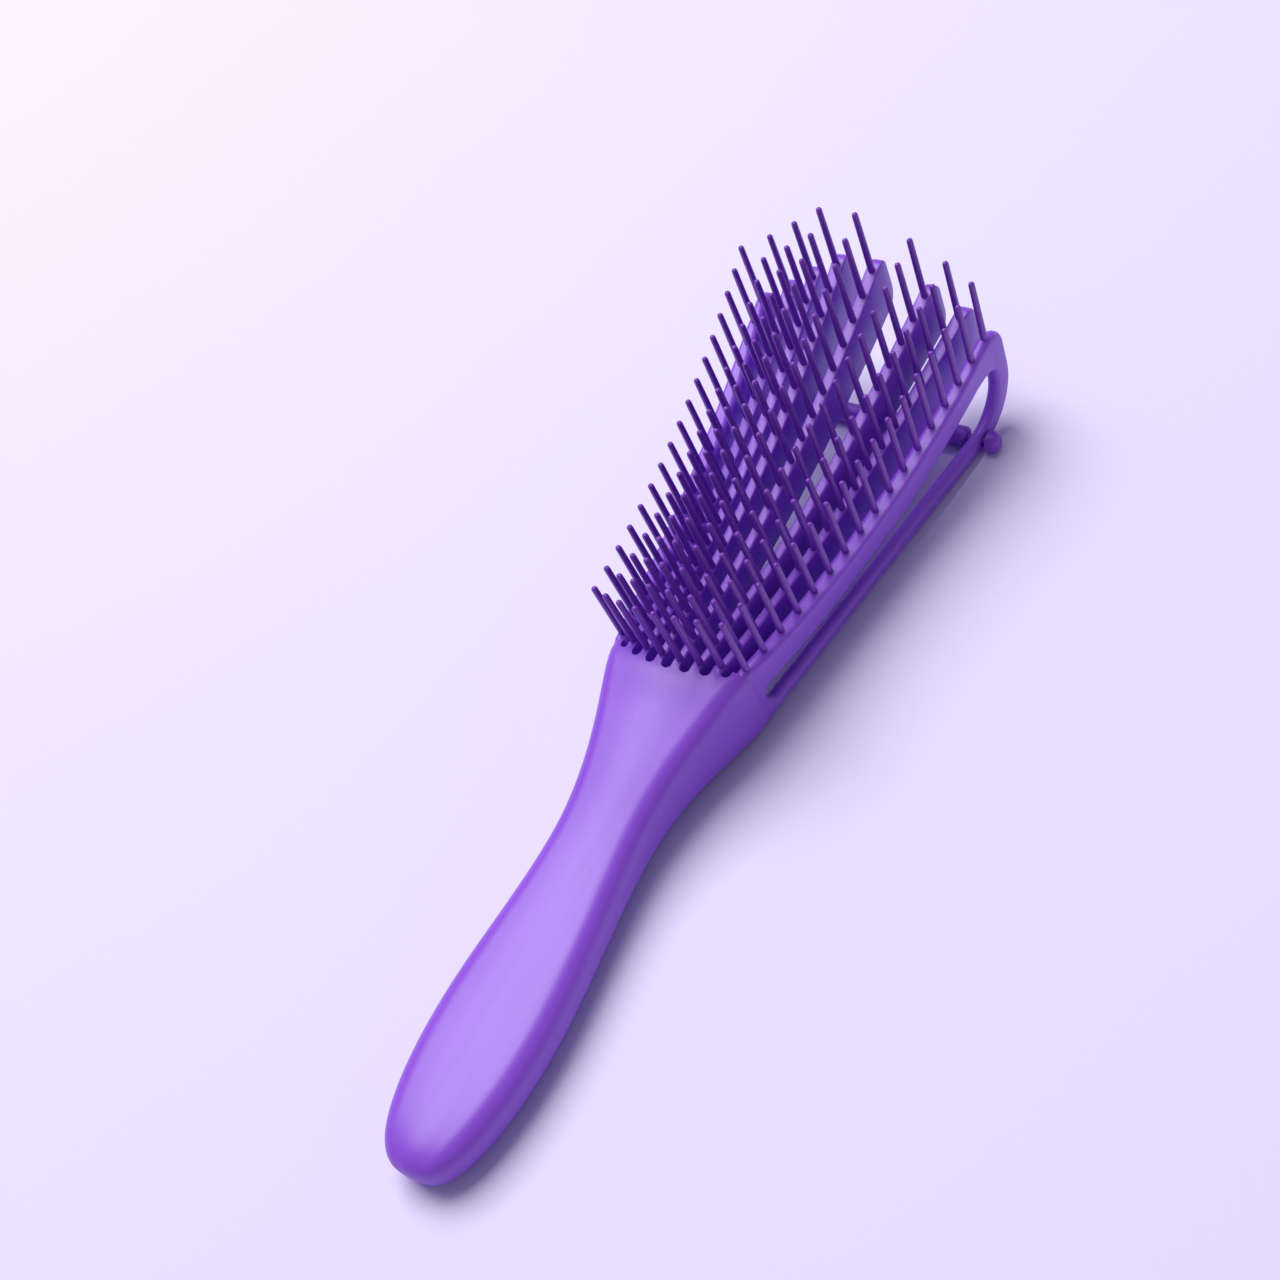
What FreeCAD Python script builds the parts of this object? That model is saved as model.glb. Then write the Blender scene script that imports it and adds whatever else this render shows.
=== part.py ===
import FreeCAD, Part
import math
import os
import Sketcher

# Driving dimensions in millimetres and degrees.
# X runs to the finger tips, Y to the left and Z along the bristles. The origin lies on the front of the
# neck, where the middle bristle rows start.
dimensions = {
    # handle outline seen from the front
    "handle_end_round": 10.6,
    "handle_shoulder_x": -116.9,
    "handle_shoulder_half": 10.1,
    "handle_bulb_x": -84,
    "handle_bulb_half": 14.05,
    "handle_bulb_radius": 80,
    "handle_waist_x": -42,
    "handle_waist_half": 10.3,
    "handle_flare_radius": 59,
    "handle_flare_x": -20,
    "handle_flare_half": 12.7,
    "neck_end_half": 17.3,
    # handle seen from the side
    "handle_far_x": -130,
    "handle_far_front": 3.1,
    "handle_far_back": -9.8,
    "handle_dip_start_x": -66,
    "handle_dip_start_front": -3.7,
    "handle_dip_end_x": -32,
    "handle_dip_end_front": -3.5,
    "handle_dip_radius": 154,
    "neck_front": 0.4,
    "neck_back": -24.4,
    "handle_edge_width": 4.2,
    "handle_crease_width": 1.5,
    # finger roots: each finger swings about an upright axis in the neck
    "root_axis_x": -4.2,
    "root_seam_radius": 2.6,
    "root_seam_gap": 0.06,
    "slot_end_x": -3.5,
    "slot_depth": 12,
    "outer_slot_reach": 2.2,
    # fingers, from the innermost pair to the outermost
    "blade_root_width": 2.3,
    "blade_tip_width": 3.6,
    "blade_root_depth": 10.2,
    "blade_tip_depth": 9,
    "blade_tip_round": 4.2,
    "blade_edge_width": 0.6,
    "blade_start": 1,
    "front_radius": 240,
    "back_radius": 250,
    "fan_length": 110.7,
    "bow_step": 0.44,
    "root_spread_1": 2.3,
    "root_spread_2": 6.8,
    "root_spread_3": 11.3,
    "root_spread_4": 15.4,
    "tip_spread_1": 5.1,
    "tip_spread_2": 14.5,
    "tip_spread_3": 22.9,
    "tip_spread_4": 30.8,
    "blade_length_1": 119.5,
    "blade_length_2": 120.5,
    "blade_length_3": 121.9,
    "root_front_1": 0.5,
    "root_front_2": 0.3,
    "root_front_3": -0.4,
    "root_front_4": -1.8,
    "tip_front_1": 6.7,
    "tip_front_2": -0.6,
    "tip_front_3": -8.7,
    "tip_front_4": -8.7,
    "first_bristle_1": 0,
    "first_bristle_2": 0.6,
    "first_bristle_3": 1.8,
    "first_bristle_4": 3.6,
    # outer finger and back bar, which make one flat loop
    "loop_thickness": 3.5,
    "loop_edge_width": 1,
    "loop_outer_u": 118.3,
    "loop_tip_round": 5.8,
    "loop_split_z": -20.5,
    "loop_hook_thickness": 5.2,
    "loop_apex_u": 107,
    "loop_apex_z": -19.5,
    "loop_apex_radius": 3.4,
    "loop_apex_round": 3,
    "loop_blade_back_radius": 207,
    "side_slot_u": 9.3,
    "side_slot_front": -15.1,
    "side_slot_back": -20.9,
    "side_slot_round": 2.4,
    "bar_start_u": 12.2,
    "loop_root_back": -24.6,
    "bar_start_back": -25.3,
    "bar_hook_u": 99.9,
    "bar_hook_back": -39.6,
    "bar_hook_z": -24.4,
    "bar_hook_radius": 15.5,
    # cross rod
    "rod_x": 96.6,
    "rod_z": -37.1,
    "rod_radius": 2.7,
    "rod_neck_radius": 1,
    "rod_eyelet_radius": 1.6,
    "rod_shoulder_y": 26.8,
    "rod_head_y": 32,
    "rod_end_y": 35.3,
    "rod_head_radius": 2.8,
    "rod_edge_width": 1,
    # bristles
    "bristle_length": 19.9,
    "bristle_radius": 0.7,
    "bristle_pitch": 6.5,
    "bristle_sunk": 0.6,
    "bristles_inner": 18,
    "bristles_outer": 17,
    # the brush lying on its back: handle end and back bars on the table
    "rest_tilt": 7.626,
    "rest_shift": 2.316,
    "rest_lift": 26.753,
}
# Sideways set of each finger's tip, left to right: moulded fingers spring a little out of line.
finger_sets = (0, 1.5, 0.6, 1.3, 2.1, -0.6, 0.8, 0)

doc = FreeCAD.newDocument("detangling_brush")
sheet = doc.addObject("Spreadsheet::Sheet", "sizes")
for row, (alias, number) in enumerate(dimensions.items(), start=1):
    sheet.set(f"A{row}", alias)
    sheet.set(f"B{row}", str(number))
    sheet.setAlias(f"B{row}", alias)
doc.recompute()


class Size:
    """A driving dimension, or a sum or product of some: its number and the expression that gives it."""

    def __init__(self, text, value):
        self.text = text
        self.value = value

    def combined(self, sign, other, value):
        other_text = other.text if isinstance(other, Size) else str(other)
        return Size(f"({self.text} {sign} {other_text})", value)

    def __add__(self, other):
        return self.combined("+", other, self.value + number_of(other))

    def __sub__(self, other):
        return self.combined("-", other, self.value - number_of(other))

    def __mul__(self, other):
        return self.combined("*", other, self.value * number_of(other))

    def __truediv__(self, other):
        return self.combined("/", other, self.value / number_of(other))

    def __neg__(self):
        return Size(f"(0 - {self.text})", -self.value)

    def root(self):
        return Size(f"sqrt({self.text})", math.sqrt(self.value))


def number_of(size):
    return size.value if isinstance(size, Size) else size


def size(alias):
    return Size(f"sizes.{alias}", float(sheet.get(alias)))


def arc_centre(start, end, radius):
    """Centre of the minor arc from start to end; a positive radius turns left, a negative one right."""
    middle_x = (start[0] + end[0]) / 2
    middle_y = (start[1] + end[1]) / 2
    along_x = end[0] - start[0]
    along_y = end[1] - start[1]
    chord = math.hypot(along_x, along_y)
    reach = math.sqrt(max(radius * radius - chord * chord / 4, 0))
    side = math.copysign(reach / chord, radius)
    return middle_x - along_y * side, middle_y + along_x * side


def add_sketch(body, name, role):
    sketch = body.newObject("Sketcher::SketchObject", name)
    plane = [feature for feature in body.Origin.OriginFeatures if feature.Role == role][0]
    sketch.AttachmentSupport = [(plane, "")]
    sketch.MapMode = "FlatFace"
    return sketch


def bind(sketch, constraint, name, length):
    index = sketch.addConstraint(constraint)
    if isinstance(length, Size):
        sketch.renameConstraint(index, name)
        sketch.setExpression(f"Constraints.{name}", length.text)


def trace(sketch, corners):
    """Closed outline. A corner is (x, y) when a line leaves it, or (x, y, radius) when an arc does."""
    first = sketch.GeometryCount
    count = len(corners)
    ends = []
    for index, corner in enumerate(corners):
        following = corners[(index + 1) % count]
        start = (number_of(corner[0]), number_of(corner[1]))
        end = (number_of(following[0]), number_of(following[1]))
        if len(corner) == 2:
            sketch.addGeometry(Part.LineSegment(FreeCAD.Vector(*start, 0), FreeCAD.Vector(*end, 0)))
            ends.append((1, 2))
            continue
        radius = number_of(corner[2])
        centre = arc_centre(start, end, radius)
        low, high = (start, end) if radius > 0 else (end, start)
        circle = Part.Circle(FreeCAD.Vector(*centre, 0), FreeCAD.Vector(0, 0, 1), abs(radius))
        angles = [math.atan2(point[1] - centre[1], point[0] - centre[0]) for point in (low, high)]
        if angles[1] < angles[0]:
            angles[1] += 2 * math.pi
        sketch.addGeometry(Part.ArcOfCircle(circle, *angles))
        ends.append((1, 2) if radius > 0 else (2, 1))
    for index, corner in enumerate(corners):
        here = first + index
        following = (index + 1) % count
        joint = (here, ends[index][1], first + following, ends[following][0])
        sketch.addConstraint(Sketcher.Constraint("Coincident", *joint))
        place = (-1, 1, here, ends[index][0])
        across = Sketcher.Constraint("DistanceX", *place, number_of(corner[0]))
        bind(sketch, across, f"across_{here}", corner[0])
        upward = Sketcher.Constraint("DistanceY", *place, number_of(corner[1]))
        bind(sketch, upward, f"upward_{here}", corner[1])
        if len(corner) == 3:
            radius = corner[2] if number_of(corner[2]) > 0 else -corner[2]
            rounding = Sketcher.Constraint("Radius", here, number_of(radius))
            bind(sketch, rounding, f"radius_{here}", radius)


def circle_at(sketch, across, upward, radius):
    centre = FreeCAD.Vector(number_of(across), number_of(upward), 0)
    sketch.addGeometry(Part.Circle(centre, FreeCAD.Vector(0, 0, 1), number_of(radius)))
    bind(sketch, Sketcher.Constraint("DistanceX", -1, 1, 0, 3, centre.x), "across", across)
    bind(sketch, Sketcher.Constraint("DistanceY", -1, 1, 0, 3, centre.y), "upward", upward)
    bind(sketch, Sketcher.Constraint("Radius", 0, number_of(radius)), "bore", radius)


def rectangle(left, bottom, right, top):
    return [(left, bottom), (right, bottom), (right, top), (left, top)]


def extrude(body, kind, name, sketch, length=None):
    """Pad or pocket to both sides of the sketch, through everything when no length is given."""
    feature = body.newObject(f"PartDesign::{kind}", name)
    feature.Profile = sketch
    feature.SideType = "Symmetric"
    if length is None:
        feature.Type = "ThroughAll"
    elif isinstance(length, Size):
        feature.setExpression("Length", length.text)
    else:
        feature.Length = length
    return feature


def round_edges(body, name, base, radius, wanted):
    """Fillet on the edges of the base feature that the test picks."""
    doc.recompute()
    edges = [f"Edge{number}" for number, edge in enumerate(base.Shape.Edges, start=1) if wanted(edge)]
    fillet = body.newObject("PartDesign::Fillet", name)
    fillet.Base = (base, edges)
    fillet.setExpression("Radius", radius.text)
    return fillet


def ease_edges(body, name, base, width, wanted):
    """Chamfer on the edges of the base feature that the test picks."""
    doc.recompute()
    edges = [f"Edge{number}" for number, edge in enumerate(base.Shape.Edges, start=1) if wanted(edge)]
    chamfer = body.newObject("PartDesign::Chamfer", name)
    chamfer.Base = (base, edges)
    chamfer.setExpression("Size", width.text)
    return chamfer


def is_straight_along(edge, *axes):
    ends = edge.Vertexes[0].Point.sub(edge.Vertexes[-1].Point)
    if abs(ends.Length - edge.Length) > 0.001:
        return False
    return any(abs(ends.dot(axis)) > 0.999 * edge.Length for axis in axes)


X_AXIS = FreeCAD.Vector(1, 0, 0)
Y_AXIS = FreeCAD.Vector(0, 1, 0)
Z_AXIS = FreeCAD.Vector(0, 0, 1)
FAR = 160
PAIRS = (4, 3, 2, 1, 1, 2, 3, 4)
SIDES = (1, 1, 1, 1, -1, -1, -1, -1)

rest = FreeCAD.Placement(
    FreeCAD.Vector(number_of(size("rest_shift")), 0, number_of(size("rest_lift"))),
    FreeCAD.Rotation(Y_AXIS, -number_of(size("rest_tilt"))),
)


# Handle: a teardrop paddle with a waist and a flaring neck, cut from its two outlines and rounded.
def handle_outline():
    """Corners of the left half from neck to end, then the right half back to the neck."""
    neck_x = size("root_axis_x") + size("root_seam_radius")
    left = [
        (neck_x, size("neck_end_half")),
        (size("handle_flare_x"), size("handle_flare_half"), -size("handle_flare_radius")),
        (size("handle_waist_x"), size("handle_waist_half")),
        (size("handle_bulb_x"), size("handle_bulb_half"), size("handle_bulb_radius")),
        (size("handle_shoulder_x"), size("handle_shoulder_half"), size("handle_end_round")),
    ]
    right = [
        (size("handle_shoulder_x"), -size("handle_shoulder_half"), size("handle_bulb_radius")),
        (size("handle_bulb_x"), -size("handle_bulb_half")),
        (size("handle_waist_x"), -size("handle_waist_half"), -size("handle_flare_radius")),
        (size("handle_flare_x"), -size("handle_flare_half")),
        (neck_x, -size("neck_end_half")),
    ]
    return left + right


def handle_profile():
    return [
        (size("handle_far_x"), size("handle_far_back")),
        (0, size("neck_back")),
        (0, size("neck_front")),
        (size("handle_dip_end_x"), size("handle_dip_end_front"), -size("handle_dip_radius")),
        (size("handle_dip_start_x"), size("handle_dip_start_front")),
        (size("handle_far_x"), size("handle_far_front")),
    ]


def root_half(pair):
    return size("loop_thickness") / 2 if pair == 4 else size("blade_root_width") / 2


def stub_end_x(half, gap_share):
    """Where the round seam about the root axis meets a wall at this half width."""
    radius = size("root_seam_radius") + size("root_seam_gap") * gap_share
    return size("root_axis_x") + (radius * radius - half * half).root()


def stub_corners(index):
    """Round end of the finger root that stays on the neck, from its left wall to its right wall."""
    pair = PAIRS[index]
    axis_y = size(f"root_spread_{pair}") * SIDES[index]
    half = root_half(pair)
    seam = size("root_seam_radius") - size("root_seam_gap") / 2
    end_x = stub_end_x(half, -0.5)
    return [(end_x, axis_y + half, -seam), (end_x, axis_y - half)]


def slot_corners(index):
    """Round end of the slot between this finger and the next one to its right."""
    left_wall = size(f"root_spread_{PAIRS[index]}") * SIDES[index] - root_half(PAIRS[index])
    right_wall = size(f"root_spread_{PAIRS[index + 1]}") * SIDES[index + 1] + root_half(PAIRS[index + 1])
    half = (left_wall - right_wall) / 2
    end_x = size("slot_end_x")
    return [(end_x, left_wall, half), (end_x - half, left_wall - half, half), (end_x, right_wall)]


def add_body(name):
    body = doc.addObject("PartDesign::Body", name)
    body.Label = name
    return body


def make_handle():
    body = add_body("handle")
    plan = add_sketch(body, "handle_plan", "XY_Plane")
    trace(plan, handle_outline())
    extrude(body, "Pad", "handle_block", plan, FAR)
    side = add_sketch(body, "handle_side", "XZ_Plane")
    trace(side, rectangle(-FAR, -FAR, FAR, FAR))
    trace(side, handle_profile())
    shaped = extrude(body, "Pocket", "handle_shape", side)
    eased = ease_edges(body, "handle_easing", shaped, size("handle_edge_width"),
                       lambda edge: not is_straight_along(edge, Y_AXIS, Z_AXIS))
    ease_edges(body, "handle_softening", eased, size("handle_crease_width"), is_front_crease)
    cut_inner_roots(body)
    cut_outer_roots(body)
    return body


def is_front_crease(edge):
    """Long edges beside the eased rim of the handle's front, not those beside its back."""
    width = number_of(size("handle_edge_width"))
    far_x = number_of(size("handle_far_x"))
    far_back = number_of(size("handle_far_back"))
    place = edge.CenterOfMass
    back = far_back + (number_of(size("neck_back")) - far_back) * (place.x - far_x) / -far_x
    is_long = edge.Length > width * 2 and not is_straight_along(edge, Y_AXIS, Z_AXIS)
    return is_long and place.z - back > width * 1.5


def cut_inner_roots(body):
    """Comb of the six inner finger roots, with the slots that part them, cut from the front."""
    clear_x = size("root_seam_radius") * 2
    corners = []
    for index in range(1, 7):
        corners += stub_corners(index)
        if index < 6:
            corners += slot_corners(index)
    opening = [(clear_x, corners[0][1])] + corners + [(clear_x, corners[-1][1])]
    comb = add_sketch(body, "inner_comb", "XY_Plane")
    trace(comb, opening)
    cut = body.newObject("PartDesign::Pocket", "inner_slots")
    cut.Profile = comb
    cut.SideType = "Two sides"
    cut.setExpression("Length", size("slot_depth").text)
    cut.setExpression("Length2", size("handle_edge_width").text)


def cut_outer_roots(body):
    """Full-depth seams and slots of the two outer fingers."""
    clear_x = size("root_seam_radius") * 2
    half = root_half(4)
    reach = size("outer_slot_reach")
    seam = size("root_seam_radius") - size("root_seam_gap") / 2
    axis_y = size("root_spread_4")
    beyond = axis_y + size("neck_end_half") / 2
    wall_end = stub_end_x(half, -0.5)
    reach_end = stub_end_x(reach, -0.5)
    left_slot = slot_corners(0)
    left = [
        (clear_x, beyond),
        (reach_end, beyond),
        (reach_end, axis_y + reach, -seam),
        (wall_end, axis_y - half),
        *left_slot,
        (clear_x, left_slot[-1][1]),
    ]
    right_slot = slot_corners(6)
    right = [
        (clear_x, right_slot[0][1]),
        *right_slot,
        (wall_end, half - axis_y, -seam),
        (reach_end, -(axis_y + reach)),
        (reach_end, -beyond),
        (clear_x, -beyond),
    ]
    seams = add_sketch(body, "outer_seams", "XY_Plane")
    trace(seams, left)
    trace(seams, right)
    extrude(body, "Pocket", "outer_slots", seams)


# Fingers: sprung blades that fan out from the neck, hollow along the front.
def finger_yaw(index):
    """Direction of a finger in plan, in degrees from X towards the left."""
    pair = PAIRS[index]
    spread = number_of(size(f"tip_spread_{pair}")) - number_of(size(f"root_spread_{pair}"))
    aside = SIDES[index] * spread + finger_sets[index]
    return math.degrees(math.atan2(aside, number_of(size("fan_length"))))


def finger_placement(index):
    root = FreeCAD.Vector(
        number_of(size("root_axis_x")), SIDES[index] * number_of(size(f"root_spread_{PAIRS[index]}")), 0)
    return rest.multiply(FreeCAD.Placement(root, FreeCAD.Rotation(Z_AXIS, finger_yaw(index))))


def front_ends(pair):
    """Both ends of a finger's front edge, along the finger and in height."""
    tip = size("loop_outer_u") if pair == 4 else size(f"blade_length_{pair}")
    return (size("blade_start"), size(f"root_front_{pair}")), (tip, size(f"tip_front_{pair}"))


def bow_radius(pair):
    """Radius of an inner finger's sideways bow, which grows from the middle outwards."""
    length = size(f"blade_length_{pair}")
    return length * length / (size("bow_step") * (8 * (pair - 0.5)))


def is_rim(edge):
    """Long edges of a blade or bar, not those at its root seam or where finger and bar join."""
    place = edge.CenterOfMass
    at_root = place.x < number_of(size("root_seam_radius")) + 1
    at_split = abs(place.z - number_of(size("loop_split_z"))) < 0.01 and is_straight_along(edge, X_AXIS)
    at_start = abs(place.x - number_of(size("bar_start_u"))) < 0.01 and is_straight_along(edge, Z_AXIS)
    return not (at_root or at_split or at_start or is_straight_along(edge, Y_AXIS))


def round_corners(body, name, base, radius, places):
    """Fillet on the crosswise edges at these places along the finger and in height."""
    corners = [FreeCAD.Vector(number_of(along), 0, number_of(height)) for along, height in places]

    def is_corner(edge):
        place = FreeCAD.Vector(edge.CenterOfMass.x, 0, edge.CenterOfMass.z)
        nearest = min(place.distanceToPoint(corner) for corner in corners)
        return is_straight_along(edge, Y_AXIS) and nearest < 0.1

    return round_edges(body, name, base, radius, is_corner)


def make_inner_finger(index):
    pair = PAIRS[index]
    length = size(f"blade_length_{pair}")
    root = size("blade_root_width") / 2
    tip = size("blade_tip_width") / 2
    seam = size("root_seam_radius") + size("root_seam_gap") / 2
    start = (seam * seam - root * root).root()
    bow = bow_radius(pair) * SIDES[index]
    body = add_body(f"finger_{index + 1}")
    plan = add_sketch(body, f"{body.Name}_plan", "XY_Plane")
    trace(plan, [(start, -root, bow), (length, -tip), (length, tip, -bow), (start, root, -seam)])
    extrude(body, "Pad", f"{body.Name}_block", plan, FAR)
    front_root, front_tip = front_ends(pair)
    back_tip = (length, front_tip[1] - size("blade_tip_depth"))
    back_root = (front_root[0], front_root[1] - size("blade_root_depth"))
    side = add_sketch(body, f"{body.Name}_side", "XZ_Plane")
    trace(side, rectangle(-FAR, -FAR, FAR, FAR))
    trace(side, [
        (*front_root, size("front_radius")),
        front_tip,
        (*back_tip, -size("back_radius")),
        back_root,
    ])
    shaped = extrude(body, "Pocket", f"{body.Name}_shape", side)
    tipped = round_corners(body, f"{body.Name}_tip", shaped, size("blade_tip_round"), [front_tip, back_tip])

    def is_front_rim(edge):
        place = edge.CenterOfMass
        middle = front_height(pair, place.x) - number_of(size("blade_root_depth")) / 2
        return is_rim(edge) and place.z > middle

    ease_edges(body, f"{body.Name}_rims", tipped, size("blade_edge_width"), is_front_rim)
    body.Placement = finger_placement(index)
    return body


def make_outer_finger(index):
    """Outer finger: blade, root block with the side slot's round end, and the top half of its hook."""
    front_root, front_tip = front_ends(4)
    outer = size("loop_outer_u")
    split = size("loop_split_z")
    apex = (size("loop_apex_u"), size("loop_apex_z"))
    slot_front = (size("side_slot_u"), size("side_slot_front"))
    slot_back = (size("side_slot_u"), size("side_slot_back"))
    body = add_body(f"finger_{index + 1}")
    side = add_sketch(body, f"{body.Name}_side", "XZ_Plane")
    trace(side, [
        (*front_root, size("front_radius")),
        front_tip,
        (outer, split),
        (outer - size("loop_hook_thickness"), split, size("loop_apex_radius")),
        (*apex, -size("loop_blade_back_radius")),
        slot_front,
        slot_back,
        (size("bar_start_u"), size("side_slot_back")),
        (size("bar_start_u"), size("bar_start_back")),
        (front_root[0], size("loop_root_back")),
    ])
    extrude(body, "Pad", f"{body.Name}_block", side, size("loop_thickness"))
    seat = add_sketch(body, f"{body.Name}_seat", "XY_Plane")
    seam = size("root_seam_radius") + size("root_seam_gap") / 2
    circle_at(seat, 0, 0, seam)
    seated = extrude(body, "Pocket", f"{body.Name}_root", seat)
    tipped = round_corners(body, f"{body.Name}_tip", seated, size("loop_tip_round"), [front_tip])
    eased = round_corners(body, f"{body.Name}_apex", tipped, size("loop_apex_round"), [apex])
    slot_round = size("side_slot_round")
    slotted = round_corners(body, f"{body.Name}_slot", eased, slot_round, [slot_front, slot_back])
    ease_edges(body, f"{body.Name}_rims", slotted, size("loop_edge_width"), is_rim)
    body.Placement = finger_placement(index)
    return body


# Back bars: the outer fingers' return along the rear, with an eyelet for the cross rod.
def make_back_bar(name, index):
    split = size("loop_split_z")
    outer = size("loop_outer_u")
    inner = outer - size("loop_hook_thickness")
    hook = size("bar_hook_radius")
    inner_hook = hook - size("loop_hook_thickness")
    centre_u = outer - hook
    centre_z = size("bar_hook_z")
    start_u = size("bar_start_u")
    body = add_body(name)
    side = add_sketch(body, f"{name}_side", "XZ_Plane")
    trace(side, [
        (start_u, size("bar_start_back")),
        (size("bar_hook_u"), size("bar_hook_back"), hook),
        (outer, centre_z),
        (outer, split),
        (inner, split),
        (inner, centre_z, -inner_hook),
        (centre_u + (size("bar_hook_u") - centre_u) * inner_hook / hook,
         centre_z + (size("bar_hook_back") - centre_z) * inner_hook / hook),
        (start_u, size("side_slot_back")),
    ])
    bar = extrude(body, "Pad", f"{name}_block", side, size("loop_thickness"))
    ease_edges(body, f"{name}_rims", bar, size("loop_edge_width"), is_rim)
    yaw = math.radians(finger_yaw(index))
    eyelet_u = (number_of(size("rod_x")) - number_of(size("root_axis_x"))) / math.cos(yaw)
    rod_direction = FreeCAD.Vector(math.sin(yaw), math.cos(yaw), 0)
    eyelet = body.newObject("PartDesign::SubtractiveCylinder", f"{name}_eyelet")
    eyelet.setExpression("Radius", size("rod_eyelet_radius").text)
    eyelet.Height = 4 * number_of(size("loop_thickness"))
    middle = FreeCAD.Vector(eyelet_u, 0, number_of(size("rod_z")))
    eyelet.Placement = FreeCAD.Placement(
        middle - rod_direction * (eyelet.Height.Value / 2), FreeCAD.Rotation(Z_AXIS, rod_direction))
    body.Placement = finger_placement(index)
    return body


# Cross rod: a round rod that ties the two bars, necked in the eyelets, with a head outside each.
def make_cross_rod():
    head = size("rod_head_radius")
    neck = size("rod_neck_radius")
    shaft = size("rod_radius")
    edge = size("rod_edge_width")
    end_y = size("rod_end_y")
    head_y = size("rod_head_y")
    shoulder_y = size("rod_shoulder_y")
    right_half = [
        (head - edge, end_y),
        (head, end_y - edge),
        (head, head_y),
        (neck, head_y),
        (neck, shoulder_y),
        (shaft, shoulder_y),
    ]
    left_half = [(across, -along) for across, along in right_half]
    right_half.reverse()
    body = add_body("cross_rod")
    half = add_sketch(body, "cross_rod_half", "XY_Plane")
    trace(half, [(0, -end_y)] + left_half + right_half + [(0, end_y)])
    turned = body.newObject("PartDesign::Revolution", "cross_rod_turned")
    turned.Profile = half
    turned.ReferenceAxis = (half, ["V_Axis"])
    turned.Angle = 360
    centre = FreeCAD.Vector(number_of(size("rod_x")), 0, number_of(size("rod_z")))
    body.Placement = rest.multiply(FreeCAD.Placement(centre, FreeCAD.Rotation()))
    return body


# Bristles: straight pins with eased tips, all parallel, in one row on each finger.
def make_bristle():
    body = add_body("bristle")
    pin = body.newObject("PartDesign::AdditivePrism", "bristle_pin")
    pin.Polygon = 6
    pin.setExpression("Circumradius", size("bristle_radius").text)
    pin.setExpression("Height", (size("bristle_length") + size("bristle_sunk")).text)
    pin.setExpression("Placement.Base.z", (-size("bristle_sunk")).text)
    top = number_of(size("bristle_length"))

    def is_at_tip(edge):
        return edge.BoundBox.ZMin > top - 0.01

    ease_edges(body, "bristle_tip", pin, size("bristle_radius") / 2, is_at_tip)
    return body


def front_height(pair, along):
    """Height of a finger's hollow front edge at a distance along it."""
    root, tip = [[number_of(part) for part in end] for end in front_ends(pair)]
    radius = number_of(size("front_radius"))
    centre = arc_centre(root, tip, radius)
    return centre[1] - math.sqrt(radius ** 2 - (along - centre[0]) ** 2)


def bow_offset(index, along):
    """Sideways offset of a finger's middle line at a distance along it."""
    if PAIRS[index] == 4:
        return 0
    radius = number_of(bow_radius(PAIRS[index]))
    half = number_of(size(f"blade_length_{PAIRS[index]}")) / 2
    here = math.sqrt(radius ** 2 - (along - half) ** 2)
    at_ends = math.sqrt(radius ** 2 - half ** 2)
    return SIDES[index] * (at_ends - here)


def make_bristles(index, bristle):
    pair = PAIRS[index]
    count = size("bristles_outer") if pair == 4 else size("bristles_inner")
    start = size(f"first_bristle_{pair}") - size("root_axis_x")
    pins = []
    for number in range(int(number_of(count))):
        along = number_of(start + size("bristle_pitch") * number) / math.cos(math.radians(finger_yaw(index)))
        foot = FreeCAD.Vector(along, bow_offset(index, along), front_height(pair, along))
        pins.append(bristle.Shape.translated(foot))
    row = doc.addObject("Part::Feature", f"bristles_{index + 1}")
    row.Label = row.Name
    row.Shape = Part.makeCompound(pins)
    row.Placement = finger_placement(index)
    return row


handle = make_handle()
handle.Placement = rest
fingers = [make_outer_finger(index) if PAIRS[index] == 4 else make_inner_finger(index) for index in range(8)]
bars = [make_back_bar("left_back_bar", 0), make_back_bar("right_back_bar", 7)]
rod = make_cross_rod()
bristle = make_bristle()
doc.recompute()
rows = [make_bristles(index, bristle) for index in range(8)]
doc.recompute()

for item in doc.Objects:
    if "Invalid" in item.State or "Error" in item.State:
        raise RuntimeError(f"{item.Name} failed: {item.State}")
nodes = [handle, *fingers, *rows, *bars, rod]
for node in nodes:
    if node.Shape.isNull() or not node.Shape.isValid():
        raise RuntimeError(f"{node.Label} has no sound shape")
os.makedirs("parts", exist_ok=True)
for node in nodes:
    node.Shape.exportStep(f"parts/{node.Label}.step")
everything = Part.makeCompound([node.Shape for node in nodes]).optimalBoundingBox(False)
for node in nodes:
    print(f"{node.Label}: {len(node.Shape.Solids)} solid(s), {node.Shape.Volume / 1000:.2f} cm3")
print(f"overall {everything.XLength:.2f} x {everything.YLength:.2f} x {everything.ZLength:.2f} mm")
print(f"middle {everything.Center.x:.3f}, {everything.Center.y:.3f}, lowest {everything.ZMin:.3f} mm")
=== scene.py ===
import math

import bpy
from mathutils import Matrix, Vector


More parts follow.
